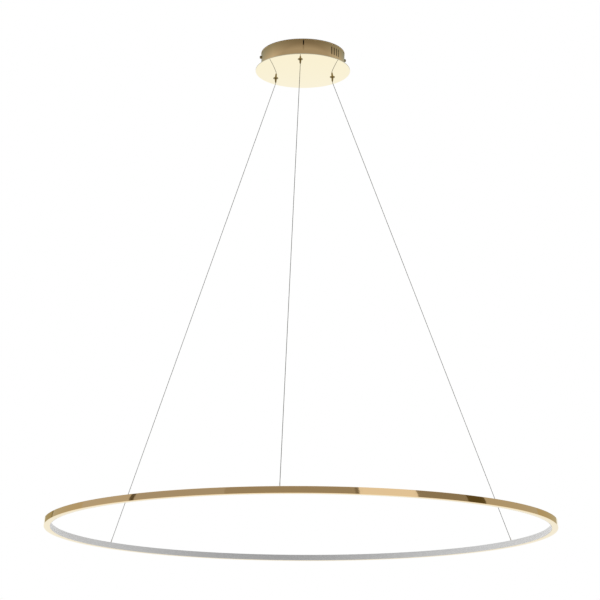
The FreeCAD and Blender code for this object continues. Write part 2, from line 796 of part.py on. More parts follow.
def wire_route():
    """The hanging wire in its own upright plane, x outwards from the canopy's
    axis: its corner points, the bend's crown, and its tilt from the vertical."""
    bend = size("wire_bend")
    exit_point = V(size("gripper_radius"), 0, -size("canopy_height") - size("nipple_drop"))
    bend_start = exit_point - UP * size("wire_lead")
    centre = bend_start + V(bend, 0, 0)
    pin_level = size("band_height") - size("pin_drop") - size("overall_height")
    pin = V(size("anchor_radius"), 0, pin_level)
    gap = pin - centre
    tilt = math.atan2(gap.x, -gap.z) + math.asin(bend / gap.Length)
    bend_end = centre + V(-math.cos(tilt), 0, -math.sin(tilt)) * bend
    crown = centre + V(-math.cos(tilt / 2), 0, -math.sin(tilt / 2)) * bend
    down = V(math.sin(tilt), 0, -math.cos(tilt))
    wire_end = pin - down * size("sleeve_end")
    return exit_point, bend_start, crown, bend_end, wire_end, pin, tilt


def suspension_wire(index):
    """Taut steel wire from a nipple's tip to its crimped end at the ring."""
    exit_point, bend_start, crown, bend_end, wire_end, pin, tilt = wire_route()
    path = Part.Wire(
        [
            Part.LineSegment(exit_point, bend_start).toShape(),
            Part.Arc(bend_start, crown, bend_end).toShape(),
            Part.LineSegment(bend_end, wire_end).toShape(),
        ]
    )
    section = Part.Wire(Part.makeCircle(size("wire_radius"), exit_point, UP))
    wire = doc.addObject("Part::Feature", f"suspension_wire_{index}")
    wire.Shape = path.makePipeShell([section], True, False)
    wire.Placement = FreeCAD.Placement(V(), FreeCAD.Rotation(UP, wire_angle(index)))
    expected = path.Length * math.pi * size("wire_radius") ** 2
    if abs(wire.Shape.Volume / expected - 1) > 0.01:
        raise RuntimeError(f"wire {index} has the wrong volume")
    if index == 1:
        print(f"wire length {path.Length:.2f}, tilt {math.degrees(tilt):.3f} degrees")
    return keep(wire, f"suspension_wire_{index}")


def wire_tail(index):
    """The wire's upper end, up through its gripper into the canopy."""
    tail = doc.addObject("Part::Cylinder", f"wire_tail_{index}")
    bind(tail, "Radius", "wire_radius")
    bind(tail, "Height", "tail_length")
    level = -size("canopy_height") - size("nipple_drop")
    tail.Placement = at_wire(index, size("gripper_radius"), level)
    return keep(tail, f"wire_tail_{index}")


def wire_ferrule(index):
    """Crimped sleeve with a flat eye that turns on the anchor's pin."""
    body = new_body(f"wire_ferrule_{index}")
    eye = sketch_on(body, "XZ_Plane", "eye")
    circle(eye, "0", "0", "eye_radius")
    circle(eye, "0", "0", "pin_radius + eye_clearance")
    pad(body, eye, "eye_width", symmetric=True)
    sleeve = sketch_on(body, "XY_Plane", "sleeve", level="sleeve_start")
    circle(sleeve, "0", "0", "sleeve_radius")
    pad(body, sleeve, "sleeve_end - sleeve_start")
    pin, tilt = wire_route()[-2:]
    spot = at_wire(index, pin.x, pin.z)
    lean = FreeCAD.Rotation(V(0, 1, 0), -math.degrees(tilt))
    body.Placement = FreeCAD.Placement(spot.Base, spot.Rotation.multiply(lean))
    return keep(body)


# ---- ring -------------------------------------------------------------------

RING_FLOOR = "-overall_height"
RING_TOP = "band_height - overall_height"


def ring_frame():
    """Rolled channel, open towards the ring's axis, its top slotted for the wire
    ends to lean in."""
    inner = "ring_radius - flange_depth"
    web = "ring_radius - band_wall"
    body = turned(
        "ring_frame",
        [
            (inner, RING_FLOOR),
            ("ring_radius - edge_break", RING_FLOOR),
            ("ring_radius", f"{RING_FLOOR} + edge_break"),
            ("ring_radius", f"{RING_TOP} - edge_break"),
            ("ring_radius - edge_break", RING_TOP),
            (inner, RING_TOP),
            (inner, f"{RING_TOP} - band_wall"),
            (web, f"{RING_TOP} - band_wall"),
            (web, f"{RING_FLOOR} + band_wall"),
            (inner, f"{RING_FLOOR} + band_wall"),
        ],
    )
    slots = sketch_on(body, "XY_Plane", "wire_slots", level=RING_TOP)
    for angle in WIRE_ANGLES:
        near = spot_at("(anchor_radius - wire_slot_near)", angle)
        far = spot_at("(anchor_radius - wire_slot_far)", angle)
        rounded_slot(slots, near, far, "wire_slot_width / 2")
    cut_to(body, slots, "band_wall * 2")
    return keep(body)


def diffuser():
    """Opal silicone strip: a bevelled face over the channel's mouth and two
    snap legs inside its flanges."""
    back = "ring_radius - flange_depth"
    front = f"{back} - diffuser_face"
    low = f"{RING_FLOOR} + diffuser_gap"
    high = f"{RING_TOP} - diffuser_gap"
    low_leg = f"{RING_FLOOR} + band_wall"
    high_leg = f"{RING_TOP} - band_wall"
    body = turned(
        "diffuser",
        [
            (front, f"{low} + diffuser_crown * 2"),
            (f"{front} + diffuser_crown", low),
            (back, low),
            (back, low_leg),
            (f"{back} + leg_depth", low_leg),
            (f"{back} + leg_depth", f"{low_leg} + leg_thickness"),
            (back, f"{low_leg} + leg_thickness"),
            (back, f"{high_leg} - leg_thickness"),
            (f"{back} + leg_depth", f"{high_leg} - leg_thickness"),
            (f"{back} + leg_depth", high_leg),
            (back, high_leg),
            (back, high),
            (f"{front} + diffuser_crown", high),
            (front, f"{high} - diffuser_crown * 2"),
        ],
    )
    return keep(body)


def led_strip():
    """Light strip on the inside of the ring's outer wall: a thin band with
    square chips that face the ring's axis."""
    outer = "ring_radius - band_wall"
    middle = f"{RING_FLOOR} + band_height / 2"
    low = f"{middle} - strip_height / 2"
    high = f"{middle} + strip_height / 2"
    inner = f"{outer} - strip_thickness"
    body = turned("led_strip", [(inner, low), (outer, low), (outer, high), (inner, high)])
    foot = sketch_on(body, "YZ_Plane", "chip", level=f"{inner} + strip_thickness / 2")
    half = "chip_side / 2"
    floor = f"{middle} - {half}"
    roof = f"{middle} + {half}"
    polygon(foot, [(f"-{half}", floor), (half, floor), (half, roof), (f"-{half}", roof)])
    chip = pad(body, foot, "chip_height + strip_thickness / 2", downwards=True)
    repeat_round(body, chip, "chip_count")
    return keep(body)


def wire_anchor(index):
    """Forked post with flat cheeks, welded under the ring's top in the channel."""
    foot = "-anchor_drop"
    body = turned(
        f"wire_anchor_{index}",
        [
            ("0", foot),
            ("post_radius - edge_break", foot),
            ("post_radius", f"{foot} + edge_break"),
            ("post_radius", "-band_wall"),
            ("0", "-band_wall"),
        ],
    )
    cheeks = sketch_on(body, "YZ_Plane", "cheeks")
    half = "fork_gap / 2"
    floor = "-fork_floor"
    polygon(cheeks, [(f"-{half}", floor), (half, floor), (half, "0"), (f"-{half}", "0")])
    for side in ("", "-"):
        near = f"{side}cheek_reach"
        far = f"{side}(post_radius + edge_break)"
        below = f"{foot} - edge_break"
        polygon(cheeks, [(near, below), (far, below), (far, "0"), (near, "0")])
    cut_through(body, cheeks, both_ways=True)
    pin_hole = sketch_on(body, "XZ_Plane", "pin_hole")
    circle(pin_hole, "0", "-pin_drop", "pin_radius")
    cut_through(body, pin_hole, both_ways=True)
    body.Placement = at_wire(index, size("anchor_radius"), value_of(body, RING_TOP))
    return keep(body)


def across_fork(index, owner, shift):
    """The place of a pin or nut that lies across fork index, local Z along the
    ring's band, shifted that way from the fork's middle."""
    middle = at_wire(index, size("anchor_radius"), value_of(owner, f"{RING_TOP} - pin_drop"))
    lying = FreeCAD.Placement(V(0, shift, 0), FreeCAD.Rotation(V(1, 0, 0), -90))
    return middle.multiply(lying)


def anchor_pins():
    """Headed cross pins in the forks, one to each wire."""
    head_end = "-cheek_reach - pin_head_height"
    tip = "cheek_reach + pin_nut_height"
    pieces = []
    for index in wire_numbers():
        pin = turned(
            f"anchor_pin_{index}",
            [
                ("0", head_end),
                ("pin_head_radius", head_end),
                ("pin_head_radius", "-cheek_reach"),
                ("pin_radius", "-cheek_reach"),
                ("pin_radius", tip),
                ("0", tip),
            ],
        )
        pin.Placement = across_fork(index, pin, 0)
        pieces.append(pin)
    return compound("anchor_pins", pieces)


def anchor_nuts():
    """Nuts on the pins' ends, against the forks' flat cheeks."""
    pieces = []
    for index in wire_numbers():
        nut = hexagon_nut(f"anchor_nut_{index}", "pin_nut_flats", "pin_nut_height", "pin_radius")
        nut.Placement = across_fork(index, nut, size("cheek_reach"))
        pieces.append(nut)
    return compound("anchor_nuts", pieces)


# ---- the whole object -------------------------------------------------------


def build():
    mounting_bracket()
    canopy_drum()
    canopy_plate()
    side_screws()
    earth_screw()
    terminal_block()
    led_driver()
    driver_pad()
    gripper_nuts()
    for index in wire_numbers():
        gripper_body(index)
        gripper_plug(index)
        gripper_plunger(index)
        gripper_spring(index)
        wire_tail(index)
        suspension_wire(index)
        wire_ferrule(index)
        wire_anchor(index)
    ring_frame()
    diffuser()
    led_strip()
    anchor_pins()
    anchor_nuts()


def check():
    """Stops at any object that failed and any piece with no sound solid."""
    doc.recompute()
    for item in doc.Objects:
        if "Invalid" in item.State or "Error" in item.State:
            raise RuntimeError(f"{item.Label} failed: {item.State}")
    for piece in nodes:
        if piece.Shape.isNull() or not piece.Shape.isValid() or not piece.Shape.Solids:
            raise RuntimeError(f"{piece.Label} has no sound solid")


def export():
    os.makedirs("parts", exist_ok=True)
    for piece in nodes:
        piece.Shape.exportStep(f"parts/{piece.Label}.step")


build()
check()
export()
print(f"{len(nodes)} pieces")
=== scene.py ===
import json
from math import ceil, cos, pi, radians, sin, tan

import bmesh
import bpy
from mathutils import Matrix, Vector

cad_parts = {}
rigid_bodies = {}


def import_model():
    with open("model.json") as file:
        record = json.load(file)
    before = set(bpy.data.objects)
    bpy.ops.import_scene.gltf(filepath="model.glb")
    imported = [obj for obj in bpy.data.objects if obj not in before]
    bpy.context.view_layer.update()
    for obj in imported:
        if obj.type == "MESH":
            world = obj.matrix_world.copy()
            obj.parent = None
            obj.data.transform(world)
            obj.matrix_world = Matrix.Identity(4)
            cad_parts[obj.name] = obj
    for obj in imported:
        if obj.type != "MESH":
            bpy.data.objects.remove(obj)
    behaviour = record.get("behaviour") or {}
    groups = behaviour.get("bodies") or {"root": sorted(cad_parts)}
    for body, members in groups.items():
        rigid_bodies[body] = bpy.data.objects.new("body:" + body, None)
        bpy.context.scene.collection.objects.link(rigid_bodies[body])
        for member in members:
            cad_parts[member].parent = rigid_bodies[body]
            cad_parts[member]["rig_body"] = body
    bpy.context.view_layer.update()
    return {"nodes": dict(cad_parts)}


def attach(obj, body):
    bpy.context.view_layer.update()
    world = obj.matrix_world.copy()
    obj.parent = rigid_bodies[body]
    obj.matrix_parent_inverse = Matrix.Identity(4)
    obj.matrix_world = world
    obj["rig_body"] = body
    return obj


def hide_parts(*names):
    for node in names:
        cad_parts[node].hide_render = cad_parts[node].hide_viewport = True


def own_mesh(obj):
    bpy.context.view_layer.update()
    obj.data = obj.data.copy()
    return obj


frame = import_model()

# Ring chandelier. Lengths are in millimetres until a mesh is finished, and its
# points are then put in metres. The materials' patterns and the studio are in
# metres from the start.

MM = 0.001
WIRE_ANGLES = {1: 260, 2: 22, 3: 138.5}
PLATE_LEVEL = -46.0
RING_FLOOR = -1195.0
RING_TOP = -1180.4


# ---- nodes and meshes -----------------------------------------------------------


def linear(code):
    """An sRGB hex colour as linear red, green, blue and alpha."""
    channels = [int(code[i : i + 2], 16) / 255 for i in (1, 3, 5)]
    return (*[c / 12.92 if c <= 0.04045 else ((c + 0.055) / 1.055) ** 2.4 for c in channels], 1)


def add(tree, kind, feeds=(), **settings):
    """Adds a node. feeds gives inputs their values or the outputs linked to them."""
    node = tree.nodes.new(kind)
    for name, value in settings.items():
        setattr(node, name, value)
    for socket, value in dict(feeds).items():
        if isinstance(value, bpy.types.NodeSocket):
            tree.links.new(value, node.inputs[socket])
        else:
            node.inputs[socket].default_value = value
    return node


def new_object(name, data):
    made = bpy.data.objects.new(name, data)
    bpy.context.scene.collection.objects.link(made)
    return made


def mesh_of(points, faces, edges=()):
    mesh = bpy.data.meshes.new("shape")
    mesh.from_pydata(points, edges, faces)
    return mesh


def outwards(mesh):
    """Turns a closed shape's faces outwards."""
    shape = bmesh.new()
    shape.from_mesh(mesh)
    bmesh.ops.recalc_face_normals(shape, faces=shape.faces)
    shape.to_mesh(mesh)
    shape.free()
    return mesh


def soften(corners, steps=5):
    """Rounds the corners (radius, height, rounding) of a closed half-section."""
    line = []
    for i, (x, y, rounding) in enumerate(corners):
        here = Vector((x, y))
        back = Vector(corners[i - 1][:2]) - here
        ahead = Vector(corners[(i + 1) % len(corners)][:2]) - here
        if not rounding:
            line.append((x, y))
            continue
        half = back.angle(ahead) / 2
        centre = here + (back.normalized() + ahead.normalized()).normalized() * rounding / sin(half)
        start = here + back.normalized() * rounding / tan(half) - centre
        end = here + ahead.normalized() * rounding / tan(half) - centre
        for step in range(steps + 1):
            spoke = start.slerp(end, step / steps).normalized() * rounding
            line.append(tuple(centre + spoke))
    return line


def lathe(outline, sides, ripple=None):
    """Turns a closed outline of (radius, height) about Z. ripple gives a point
    its own radius from its turn, 0 to 1, its radius and its height."""
    points = []
    rows = []
    for radius, height in outline:
        count = sides if radius > 1e-6 else 1
        rows.append((len(points), count))
        for side in range(count):
            angle = 2 * pi * side / sides
            reach = ripple(side / sides, radius, height) if ripple and count > 1 else radius
            points.append((reach * cos(angle), reach * sin(angle), height))
    faces = []
    for (a, a_count), (b, b_count) in zip(rows, rows[1:] + rows[:1]):
        if a_count == 1 and b_count == 1:
            continue
        for side in range(sides):
            after = (side + 1) % sides
            foot = [a + side % a_count, a + after % a_count]
            head = [b + after % b_count, b + side % b_count]
            faces.append(list(dict.fromkeys(foot + head)))
    return outwards(mesh_of(points, faces))


def prism(outline, low, high):
    """A closed outline in the YZ plane, pushed along X from low to high."""
    count = len(outline)
    points = [(x, y, z) for x in (low, high) for y, z in outline]
    faces = [list(range(count)), list(range(count, 2 * count))]
    for i in range(count):
        j = (i + 1) % count
        faces.append([i, j, count + j, count + i])
    return outwards(mesh_of(points, faces))


def joined(*meshes):
    """Several shells as one mesh."""
    shape = bmesh.new()
    for mesh in meshes:
        shape.from_mesh(mesh)
    together = bpy.data.meshes.new("shape")
    shape.to_mesh(together)
    shape.free()
    return together


def placed(mesh, x=0.0, y=0.0, z=0.0, turn=Matrix()):
    """The mesh turned, and then moved by millimetres."""
    mesh.transform(Matrix.Translation((x, y, z)) @ turn)
    return mesh


def at_wire(mesh, number, radius, level):
    """Moves a mesh from its own frame, X outwards, to a wire's place."""
    turn = Matrix.Rotation(radians(WIRE_ANGLES[number]), 4, "Z")
    mesh.transform(turn @ Matrix.Translation((radius, 0, level)))
    return mesh


def piece(name, mesh, body, material, nodes=(), crease=32):
    """Finishes a mesh in millimetres as a piece that rides on a body and stands
    for CAD nodes. Edges sharper than crease degrees stay sharp."""
    mesh.transform(Matrix.Scale(MM, 4))
    mesh.shade_smooth()
    mesh.set_sharp_from_angle(angle=radians(crease))
    mesh.name = name
    mesh.materials.clear()
    mesh.materials.append(material)
    made = new_object(name, mesh)
    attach(made, body)
    if nodes:
        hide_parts(*nodes)
    return made


def evaluated(holder):
    """The mesh that an object's modifiers make, with the modifiers removed."""
    graph = bpy.context.evaluated_depsgraph_get()
    graph.update()
    mesh = bpy.data.meshes.new_from_object(holder.evaluated_get(graph), depsgraph=graph)
    holder.modifiers.clear()
    return mesh


def grown(mesh, tree, **sizes):
    """The mesh that a Geometry Nodes tree makes from a mesh and named inputs."""
    holder = new_object("growing", mesh)
    modifier = holder.modifiers.new("grow", "NODES")
    modifier.node_group = tree
    for socket in tree.interface.items_tree:
        if socket.in_out == "INPUT" and socket.name in sizes:
            modifier[socket.identifier] = sizes[socket.name]
    made = evaluated(holder)
    bpy.data.objects.remove(holder)
    return made


def slot_outline(low, high, width, steps=8):
    """An upright slot with round ends, in the YZ plane."""
    radius = width / 2
    line = []
    for centre, first in ((high - radius, 0), (low + radius, pi)):
        for step in range(steps + 1):
            angle = first + pi * step / steps
            line.append((radius * cos(angle), centre + radius * sin(angle)))
    return line


def cut_away(mesh, tools):
    """Takes the tools' shapes out of a mesh."""
    block = new_object("block", mesh)
    tool = new_object("tool", tools)
    cut = block.modifiers.new("cut", "BOOLEAN")
    cut.operation = "DIFFERENCE"
    cut.solver = "EXACT"
    cut.object = tool
    left = evaluated(block)
    bpy.data.objects.remove(block)
    bpy.data.objects.remove(tool)
    return left


def node_tree(name, **inputs):
    """An empty Geometry Nodes tree with a mesh in, a mesh out and its inputs."""
    tree = bpy.data.node_groups.new(name, "GeometryNodeTree")
    tree.interface.new_socket("Mesh", in_out="INPUT", socket_type="NodeSocketGeometry")
    tree.interface.new_socket("Mesh", in_out="OUTPUT", socket_type="NodeSocketGeometry")
    for label, kind in inputs.items():
        tree.interface.new_socket(label, in_out="INPUT", socket_type="NodeSocket" + kind)
    return tree, tree.nodes.new("NodeGroupInput"), tree.nodes.new("NodeGroupOutput")


# ---- materials --------------------------------------------------------------------


def shader_of(name, colour, metallic, roughness, **sockets):
    """A material with its constant numbers on the shader's own sockets."""
    material = bpy.data.materials.new(name)
    material.use_nodes = True
    tree = material.node_tree
    shader = tree.nodes["Principled BSDF"]
    shader.inputs["Base Color"].default_value = linear(colour)
    shader.inputs["Metallic"].default_value = metallic
    shader.inputs["Roughness"].default_value = roughness
    for label, value in sockets.items():
        shader.inputs[label.replace("_", " ")].default_value = value
    return material, tree, shader


def turned_coordinates(tree):
    """A vector that runs round the object's axis, outwards and up, in metres."""
    place = add(tree, "ShaderNodeTexCoord").outputs["Object"]
    split = add(tree, "ShaderNodeSeparateXYZ", {0: place})
    x, y, z = split.outputs
    angle = add(tree, "ShaderNodeMath", {0: y, 1: x}, operation="ARCTAN2").outputs[0]
    flat = add(tree, "ShaderNodeCombineXYZ", {0: x, 1: y}).outputs[0]
    radius = add(tree, "ShaderNodeVectorMath", {0: flat}, operation="LENGTH").outputs["Value"]
    run = add(tree, "ShaderNodeMath", {0: angle, 1: radius}, operation="MULTIPLY").outputs[0]
    return add(tree, "ShaderNodeCombineXYZ", {0: run, 1: radius, 2: z}).outputs[0]


def spread(tree, vector, scale, low, high, stretch=(1, 1, 1), detail=2.0):
    """Noise mapped to low..high. Its features are 1/scale metres across, divided
    by stretch along each axis."""
    fit = add(tree, "ShaderNodeMapping", {"Vector": vector, "Scale": stretch}).outputs[0]
    noise = add(tree, "ShaderNodeTexNoise", {"Vector": fit, "Scale": scale, "Detail": detail})
    # The noise seldom leaves 0.3 to 0.7.
    reach = {"From Min": 0.3, "From Max": 0.7, "To Min": low, "To Max": high}
    return add(tree, "ShaderNodeMapRange", {"Value": noise.outputs["Fac"], **reach}).outputs[0]


def polished_gold_plate():
    """Rolled steel sheet, buffed, plated gold and clear lacquered. The rolls
    leave it very slightly wavy along its length, the buff leaves fine lines
    that way, and the lacquer makes it paler where it is seen at a low angle."""
    material, tree, shader = shader_of(
        "polished_gold_plate", "#EFCB93", 1.0, 0.06, Coat_Weight=0.5, Coat_Roughness=0.03,
        Specular_Tint=linear("#FCFFEE"),
    )
    around = turned_coordinates(tree)
    # Real buff lines are some hundredths of a millimetre apart, too fine to show.
    # These are 0.6 mm apart and 190 mm long. The waves are 110 mm long.
    lines = spread(tree, around, 260, 0.0, 1.0, stretch=(0.02, 1, 6))
    waves = spread(tree, around, 9, 0.0, 1.0, stretch=(1, 1, 3), detail=1.0)
    rough = {"Value": lines, "From Min": 0, "From Max": 1, "To Min": 0.035, "To Max": 0.07}
    tree.links.new(add(tree, "ShaderNodeMapRange", rough).outputs[0], shader.inputs["Roughness"])
    wavy = {"Height": waves, "Distance": 0.00006, "Strength": 1.0}
    wavy = add(tree, "ShaderNodeBump", wavy).outputs[0]
    fine = {"Height": lines, "Distance": 0.000001, "Strength": 1.0, "Normal": wavy}
    tree.links.new(add(tree, "ShaderNodeBump", fine).outputs[0], shader.inputs["Normal"])
    return material


def mirror_gold_plate():
    """Flat steel disc, lapped to a mirror and plated pale gold, with the faint
    haze, in patches 45 mm across, that wiping leaves."""
    material, tree, shader = shader_of("mirror_gold_plate", "#FDF3D2", 1.0, 0.03)
    place = add(tree, "ShaderNodeTexCoord").outputs["Object"]
    haze = spread(tree, place, 22, 0.02, 0.055, detail=4.0)
    tree.links.new(haze, shader.inputs["Roughness"])
    return material


def satin_dark_gold():
    """Turned brass, satin plated in a darker gold, which blurs its tool marks."""
    material, tree, shader = shader_of("satin_dark_gold", "#8B7A4E", 1.0, 0.3)
    around = turned_coordinates(tree)
    # Marks 0.6 mm apart, because real ones of 0.05 mm are too fine to show.
    marks = spread(tree, around, 900, 0.24, 0.38, stretch=(0.1, 1, 2))
    tree.links.new(marks, shader.inputs["Roughness"])
    return material


def turned_brass():
    """Bare free-cutting brass from the lathe, dulled by air in patches of 6 mm."""
    material, tree, shader = shader_of("turned_brass", "#D9B96C", 1.0, 0.28)
    place = add(tree, "ShaderNodeTexCoord").outputs["Object"]
    dulling = spread(tree, place, 180, 0.22, 0.4, detail=3.0)
    tree.links.new(dulling, shader.inputs["Roughness"])
    return material


def zinc_plated_steel():
    """Pressed steel, electroplated with zinc and clear passivated, which leaves
    soft blue and straw clouds 22 mm across."""
    material, tree, shader = shader_of("zinc_plated_steel", "#C3C7CC", 1.0, 0.36)
    place = add(tree, "ShaderNodeTexCoord").outputs["Object"]
    clouds = spread(tree, place, 45, 0.0, 1.0, detail=4.0)
    tint = {0: clouds, 6: linear("#BCC4CF"), 7: linear("#CFCBBE")}
    colour = add(tree, "ShaderNodeMix", tint, data_type="RGBA").outputs[2]
    tree.links.new(colour, shader.inputs["Base Color"])
    tree.links.new(spread(tree, place, 300, 0.3, 0.46), shader.inputs["Roughness"])
    return material


def satin_stainless():
    """Stainless steel with the satin of a tumbled small part."""
    material, tree, shader = shader_of("satin_stainless", "#C9C8C5", 1.0, 0.27)
    place = add(tree, "ShaderNodeTexCoord").outputs["Object"]
    # Tumbling leaves dents of about 0.1 mm. These are 1.4 mm, so that they show.
    tree.links.new(spread(tree, place, 700, 0.22, 0.36, detail=3.0), shader.inputs["Roughness"])
    return material


def stranded_wire():
    """Drawn steel wires laid up into a rope under a clear coat. The coat evens
    the gloss, and the wires' sides stay a little darker. Draw marks vary the
    gloss every 2.5 mm."""
    material, tree, shader = shader_of(
        "stranded_wire", "#9A9A98", 1.0, 0.3, Coat_Weight=0.3, Coat_Roughness=0.2
    )
    place = add(tree, "ShaderNodeTexCoord").outputs["Object"]
    tree.links.new(spread(tree, place, 400, 0.24, 0.38), shader.inputs["Roughness"])
    return material


def opal_silicone():
    """Extruded silicone, filled white so that it scatters light, with the
    matt skin and the faint die lines of an extrusion."""
    material, tree, shader = shader_of("opal_silicone", "#DADADA", 0.0, 0.45, IOR=1.41)
    around = turned_coordinates(tree)
    # Die lines 1.4 mm apart and 360 mm long.
    lines = spread(tree, around, 700, 0.0, 1.0, stretch=(0.004, 1, 1))
    bump = {"Height": lines, "Distance": 0.000004, "Strength": 0.5}
    tree.links.new(add(tree, "ShaderNodeBump", bump).outputs[0], shader.inputs["Normal"])
    tree.links.new(spread(tree, around, 160, 0.4, 0.46), shader.inputs["Roughness"])
    return material


def circuit_laminate():
    """Flexible circuit band with a white solder mask, a little glossy and
    uneven every 4 mm or so."""
    material, tree, shader = shader_of("circuit_laminate", "#F1F1EC", 0.0, 0.35)
    place = add(tree, "ShaderNodeTexCoord").outputs["Object"]
    tree.links.new(spread(tree, place, 250, 0.3, 0.45), shader.inputs["Roughness"])
    return material


def moulded_plastic(name, colour, grain):
    """Spark-textured moulded plastic, whose matt skin spreads the light. Real
    grains are 0.1 mm. These are 1/grain metres across, so that they show."""
    material, tree, shader = shader_of(name, colour, 0.0, 0.5, IOR=1.53)
    place = add(tree, "ShaderNodeTexCoord").outputs["Object"]
    texture = spread(tree, place, grain, 0.0, 1.0, detail=3.0)
    bump = {"Height": texture, "Distance": 0.00003, "Strength": 0.5}
    tree.links.new(add(tree, "ShaderNodeBump", bump).outputs[0], shader.inputs["Normal"])
    tree.links.new(spread(tree, place, grain / 4, 0.44, 0.58), shader.inputs["Roughness"])
    return material


def closed_cell_foam():
    """Dark polyethylene foam tape, cut through its cells of 0.4 mm."""
    material, tree, shader = shader_of("closed_cell_foam", "#3A3A3A", 0.0, 0.9)
    place = add(tree, "ShaderNodeTexCoord").outputs["Object"]
    cells = add(tree, "ShaderNodeTexVoronoi", {"Vector": place, "Scale": 2500.0})
    bump = {"Height": cells.outputs["Distance"], "Distance": 0.0002, "Strength": 0.8}
    tree.links.new(add(tree, "ShaderNodeBump", bump).outputs[0], shader.inputs["Normal"])
    return material


GOLD = polished_gold_plate()
MIRROR = mirror_gold_plate()
DARK_GOLD = satin_dark_gold()
BRASS = turned_brass()
ZINC = zinc_plated_steel()
STAINLESS = satin_stainless()
WIRE = stranded_wire()
SILICONE = opal_silicone()
CIRCUIT = circuit_laminate()
NYLON = moulded_plastic("natural_nylon", "#E9E7DF", 1600)
CASE = moulded_plastic("driver_case_plastic", "#E6E6E3", 1100)
FOAM = closed_cell_foam()


# ---- camera -------------------------------------------------------------------------


def camera():
    """Stands low in front and looks up at the canopy."""
    lens = bpy.data.cameras.new("camera")
    lens.lens = 117.33
    lens.sensor_width = 36.0
    lens.clip_end = 200.0
    made = new_object("camera", lens)
    place = Matrix.Rotation(radians(-5.9), 4, "Z") @ Vector((0.01426, -4.5878, -1.79745))
    heading = Matrix.Rotation(radians(-5.665), 4, "Z")
    pitch = Matrix.Rotation(radians(90 + 14.227), 4, "X")
    roll = Matrix.Rotation(radians(0.251), 4, "Z")
    made.matrix_world = Matrix.Translation(place) @ heading @ pitch @ roll
    bpy.context.scene.camera = made


camera()


# ---- wires --------------------------------------------------------------------------

WIRE_DIAMETER = 1.5
# A wire's route, each point as its distance from the axis and its height.
WIRE_EXIT = (84, -57.5)
WIRE_CORNER = (84, -59.8)
WIRE_RUN = (86.97, -66.35)
WIRE_END = (587.14, -1171.76)
# How far a wire's end rises when the ring goes all the way up. It rises a little
# less than the ring, because its crimped end leans over.
WIRE_TAIL_TOP = -11.5
OUTER_WIRES = 12


def strand_tree():
    """Turns a line into a rope, its outer wires laid round it, closed at its ends."""
    tree, given, result = node_tree(
        "strands", Radius="Float", Lay="Float", Step="Float", Coat="Material"
    )
    given = given.outputs
    line = add(tree, "GeometryNodeMeshToCurve", {0: given["Mesh"]}).outputs[0]
    steps = {"Curve": line, "Length": given["Step"]}
    even = add(tree, "GeometryNodeResampleCurve", steps, mode="LENGTH").outputs[0]
    gone = add(tree, "GeometryNodeSplineParameter").outputs["Length"]
    turns = add(tree, "ShaderNodeMath", {0: gone, 1: given["Lay"]}, operation="DIVIDE").outputs[0]
    tilt = add(tree, "ShaderNodeMath", {0: turns, 1: 2 * pi}, operation="MULTIPLY").outputs[0]
    laid = add(tree, "GeometryNodeSetCurveTilt", {"Curve": even, "Tilt": tilt}).outputs[0]

    # The section is a round whose points are pushed out or in to the wires' edges.
    sides = {"Resolution": 4 * OUTER_WIRES, "Radius": 1.0}
    disc = add(tree, "GeometryNodeCurvePrimitiveCircle", sides).outputs["Curve"]
    spot = add(tree, "GeometryNodeInputPosition").outputs[0]
    x, y, _ = add(tree, "ShaderNodeSeparateXYZ", {0: spot}).outputs
    angle = add(tree, "ShaderNodeMath", {0: y, 1: x}, operation="ARCTAN2").outputs[0]
    half = pi / OUTER_WIRES
    lobe = add(tree, "ShaderNodeMath", {0: angle, 1: half, 2: -half}, operation="WRAP").outputs[0]
    # Wires that touch lie this many of their own radius from the rope's axis.
    ring = 1 / sin(half)
    across = add(tree, "ShaderNodeMath", {0: lobe}, operation="SINE").outputs[0]
    aside = add(tree, "ShaderNodeMath", {0: across, 1: ring}, operation="MULTIPLY").outputs[0]
    square = add(tree, "ShaderNodeMath", {0: aside, 1: aside}, operation="MULTIPLY").outputs[0]
    rest = add(tree, "ShaderNodeMath", {0: 1.0, 1: square}, operation="SUBTRACT").outputs[0]
    whole = add(tree, "ShaderNodeMath", {0: rest, 1: 0.0}, operation="MAXIMUM").outputs[0]
    root = add(tree, "ShaderNodeMath", {0: whole}, operation="SQRT").outputs[0]
    along = add(tree, "ShaderNodeMath", {0: lobe}, operation="COSINE").outputs[0]
    edge = {0: along, 1: ring, 2: root}
    reach = add(tree, "ShaderNodeMath", edge, operation="MULTIPLY_ADD").outputs[0]
    share = add(tree, "ShaderNodeMath", {0: reach, 1: ring + 1}, operation="DIVIDE").outputs[0]
    size = {0: share, 1: given["Radius"]}
    size = add(tree, "ShaderNodeMath", size, operation="MULTIPLY").outputs[0]
    moved = {0: spot, "Scale": size}
    moved = add(tree, "ShaderNodeVectorMath", moved, operation="SCALE").outputs[0]
    section = {"Geometry": disc, "Position": moved}
    section = add(tree, "GeometryNodeSetPosition", section).outputs[0]
    rope = {"Curve": laid, "Profile Curve": section, "Fill Caps": True}
    rope = add(tree, "GeometryNodeCurveToMesh", rope).outputs[0]
    real = add(tree, "GeometryNodeRealizeInstances", {0: rope}).outputs[0]
    coated = {0: real, "Material": given["Coat"]}
    coated = add(tree, "GeometryNodeSetMaterial", coated).outputs[0]
    tree.links.new(coated, result.inputs[0])
    return tree


STRANDS = strand_tree()


def rope_along(line, lay=12.0, step=0.9):
    """A stranded rope along points in millimetres. Its wires go round it once
    in each lay."""
    path = mesh_of(line, [], [(i, i + 1) for i in range(len(line) - 1)])
    return grown(path, STRANDS, Radius=WIRE_DIAMETER / 2, Lay=lay, Step=step, Coat=WIRE)


